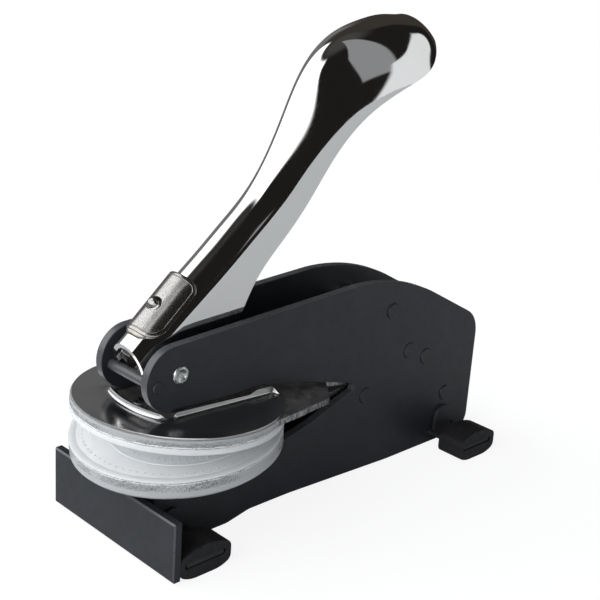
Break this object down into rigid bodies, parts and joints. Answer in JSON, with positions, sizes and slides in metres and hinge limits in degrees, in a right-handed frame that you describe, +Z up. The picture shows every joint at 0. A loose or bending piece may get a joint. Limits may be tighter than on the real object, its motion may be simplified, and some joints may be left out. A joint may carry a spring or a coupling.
{
  "type": "desk seal embosser",
  "caption": "Desk paper embosser: chrome lever in a black channel frame presses a sprung upper die onto a lower die, with slide lock, front bracket and rubber feet.",
  "frame": {"origin": "centre of the bounding box at table level, under the rubber feet", "axes": "+Z up, +Y from the dies towards the rear of the frame, +X to the side that faces the camera in the picture"},
  "size_m": [0.06, 0.1484, 0.1404],
  "materials": {
    "black_paint": "satin black powder coat with a very fine texture",
    "foot_steel": "satin black strip",
    "foot_rubber": "matt black rubber",
    "bare_steel": "plain bright steel",
    "leaf_steel": "dull zinc-coated sheet with a sheared edge",
    "nickel_plate": "bright nickel-plated sheet",
    "clear_plastic": "clear moulded plastic, slightly frosted edge",
    "white_plastic": "white translucent plastic",
    "handle_chrome": "mirror chrome",
    "lock_chrome": "satin worn chrome"
  },
  "bodies": {
    "frame": {"side_plate_right": "black_paint", "side_plate_left": "black_paint", "front_bracket": "black_paint", "front_foot_bar": "foot_steel", "rear_foot_bar": "foot_steel", "rubber_foot_front_right": "foot_rubber", "rubber_foot_front_left": "foot_rubber", "rubber_foot_rear_right": "foot_rubber", "rubber_foot_rear_left": "foot_rubber", "handle_pivot_rivet": "bare_steel", "pivot_spacers": "bare_steel", "front_cross_pin": "black_paint", "rear_top_rivet": "black_paint", "rear_top_spacer": "bare_steel", "rear_bottom_rivet": "black_paint", "rear_bottom_spacer": "bare_steel", "lower_seat_pin": "black_paint", "upper_seat_pin": "black_paint", "insert_stop_pin": "black_paint", "lower_leaf": "leaf_steel", "upper_leaf": "leaf_steel", "insert_rivets": "bare_steel", "lower_carrier": "nickel_plate", "lower_die_holder": "clear_plastic", "lower_die": "white_plastic", "lower_die_screws": "bare_steel"},
    "upper_jaw": {"upper_carrier": "nickel_plate", "upper_die_holder": "clear_plastic", "upper_die": "white_plastic", "upper_die_screws": "bare_steel"},
    "handle": {"handle_shell": "handle_chrome", "roller_pin": "bare_steel", "press_roller": "bare_steel"},
    "lock": {"lock_plate": "lock_chrome", "lock_bar": "bare_steel", "lock_stud": "lock_chrome"}
  },
  "joints": [
    {"name": "handle_hinge", "type": "hinge", "parent": "frame", "child": "handle", "pos_m": [0, -0.05273, 0.0515], "axis": [1, 0, 0], "range_deg": [-33, 0], "stiffness_Nm_per_rad": 0.6, "springref_deg": 14.32},
    {"name": "jaw_hinge", "type": "hinge", "parent": "frame", "child": "upper_jaw", "pos_m": [0, -0.01283, 0.0295], "axis": [1, 0, 0], "range_deg": [0, 8.2], "deforming": ["upper_leaf"]},
    {"name": "lock_slide", "type": "slide", "parent": "handle", "child": "lock", "axis": [0, -0.7493, -0.6622], "range_m": [0, 0.0042]}
  ],
  "couplings": [
    {"joint": "jaw_hinge", "follows": "handle_hinge", "ratio": -0.24848}
  ]
}
